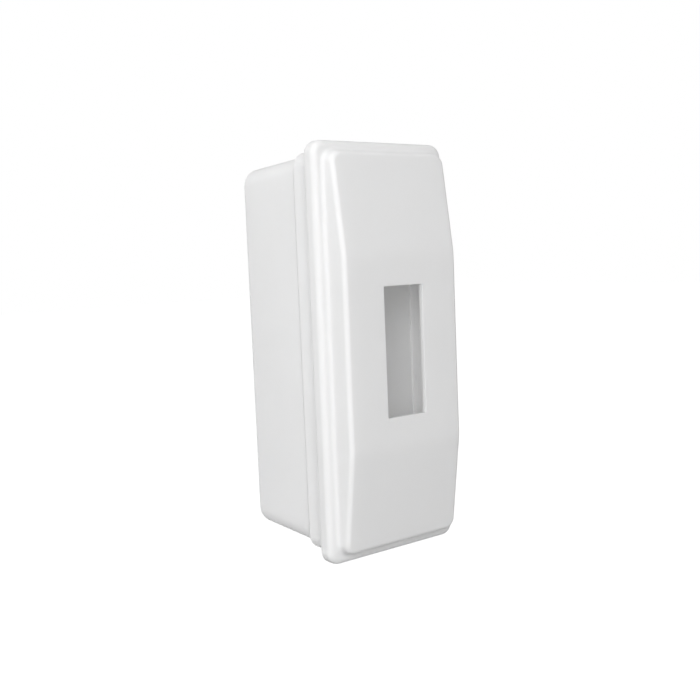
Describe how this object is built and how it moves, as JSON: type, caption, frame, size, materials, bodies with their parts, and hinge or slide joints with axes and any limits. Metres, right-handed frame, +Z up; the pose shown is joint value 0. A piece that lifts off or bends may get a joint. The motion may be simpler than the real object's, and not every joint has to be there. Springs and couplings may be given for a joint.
{
  "type": "surface mounted circuit breaker enclosure",
  "caption": "White wall box for a single modular breaker: deep tapered back box, clip-on bevelled cover with an upright window, top-hat rail and terminals inside.",
  "frame": {"origin": "middle of the box's back face, on the wall", "axes": "+Z up, +X to the right seen from the front, the front looks along -Y"},
  "size_m": [0.0602, 0.0616, 0.1466],
  "materials": {
    "box_plastic": "satin white moulded plastic",
    "cover_plastic": "satin white moulded plastic",
    "earth_carrier_plastic": "green moulded nylon",
    "neutral_carrier_plastic": "blue moulded nylon",
    "terminal_brass": "milled brass",
    "zinc_steel": "zinc-plated sheet steel",
    "screw_steel": "zinc-plated steel",
    "clamp_screw_steel": "yellow-passivated steel"
  },
  "bodies": {
    "box": {"back_box": "box_plastic", "knockout_top": "box_plastic", "knockout_bottom": "box_plastic", "knockout_back_upper": "box_plastic", "knockout_back_lower": "box_plastic", "din_rail": "zinc_steel", "rail_screw_left": "screw_steel", "rail_screw_right": "screw_steel", "earth_bar_carrier": "earth_carrier_plastic", "earth_bar": "terminal_brass", "earth_carrier_screw_left": "screw_steel", "earth_carrier_screw_right": "screw_steel", "neutral_bar_carrier": "neutral_carrier_plastic", "neutral_bar": "terminal_brass", "neutral_carrier_screw_left": "screw_steel", "neutral_carrier_screw_right": "screw_steel"},
    "cover": {"front_cover": "cover_plastic"},
    "earth_clamp_left": {"earth_clamp_screw_left": "clamp_screw_steel"},
    "earth_clamp_middle": {"earth_clamp_screw_middle": "clamp_screw_steel"},
    "earth_clamp_right": {"earth_clamp_screw_right": "clamp_screw_steel"},
    "neutral_clamp_left": {"neutral_clamp_screw_left": "clamp_screw_steel"},
    "neutral_clamp_middle": {"neutral_clamp_screw_middle": "clamp_screw_steel"},
    "neutral_clamp_right": {"neutral_clamp_screw_right": "clamp_screw_steel"}
  },
  "joints": [
    {"name": "cover_pull", "type": "slide", "parent": "box", "child": "cover", "axis": [0, -1, 0], "range_m": [0, 0.06]},
    {"name": "earth_clamp_left_travel", "type": "slide", "parent": "box", "child": "earth_clamp_left", "axis": [0, 1, 0], "range_m": [-0.002, 0.0025]},
    {"name": "earth_clamp_middle_travel", "type": "slide", "parent": "box", "child": "earth_clamp_middle", "axis": [0, 1, 0], "range_m": [-0.002, 0.0025]},
    {"name": "earth_clamp_right_travel", "type": "slide", "parent": "box", "child": "earth_clamp_right", "axis": [0, 1, 0], "range_m": [-0.002, 0.0025]},
    {"name": "neutral_clamp_left_travel", "type": "slide", "parent": "box", "child": "neutral_clamp_left", "axis": [0, 1, 0], "range_m": [-0.002, 0.0025]},
    {"name": "neutral_clamp_middle_travel", "type": "slide", "parent": "box", "child": "neutral_clamp_middle", "axis": [0, 1, 0], "range_m": [-0.002, 0.0025]},
    {"name": "neutral_clamp_right_travel", "type": "slide", "parent": "box", "child": "neutral_clamp_right", "axis": [0, 1, 0], "range_m": [-0.002, 0.0025]}
  ]
}
